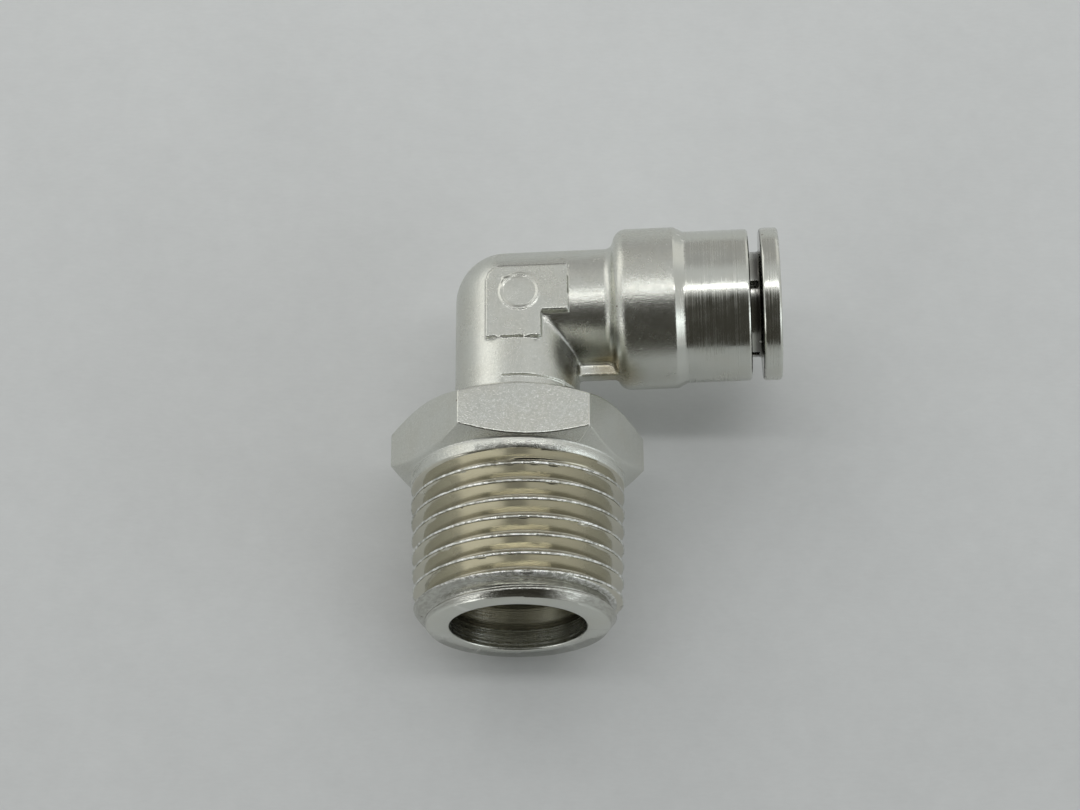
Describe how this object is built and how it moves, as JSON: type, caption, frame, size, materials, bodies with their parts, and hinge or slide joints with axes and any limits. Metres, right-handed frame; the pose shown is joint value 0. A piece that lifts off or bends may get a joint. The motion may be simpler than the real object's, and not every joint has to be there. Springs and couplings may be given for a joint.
{
  "type": "push to connect fitting",
  "caption": "Swivel elbow push to connect fitting: forged elbow with a tube socket and release collet, turning on a hexagonal stem with a taper thread.",
  "frame": {"origin": "centre of the port in the thread's end face", "axes": "+Y up the thread's axis towards the elbow, +Z square out of a flat of the hexagon, +X under the tube socket"},
  "size_m": [0.0404, 0.0423, 0.0223],
  "materials": {
    "turned_nickel": "nickel plated, turned",
    "forged_nickel": "nickel plated, satin forged",
    "black_rubber": "smooth nitrile rubber",
    "stainless": "plain stainless"
  },
  "bodies": {
    "stem": {"threaded_stem": "turned_nickel", "swivel_washer": "stainless"},
    "elbow": {"elbow_body": "forged_nickel", "swivel_o_ring": "black_rubber", "swivel_snap_ring": "stainless", "tube_seal": "black_rubber", "seal_support_ring": "turned_nickel"},
    "collet": {"release_collet": "turned_nickel"}
  },
  "joints": [
    {"name": "swivel", "type": "hinge", "parent": "stem", "child": "elbow", "pos_m": [0, 0.0341, 0], "axis": [0, 1, 0], "continuous": true},
    {"name": "collet_press", "type": "slide", "parent": "elbow", "child": "collet", "axis": [-0.9907, 0, -0.1357], "range_m": [0, 0.0011]}
  ]
}
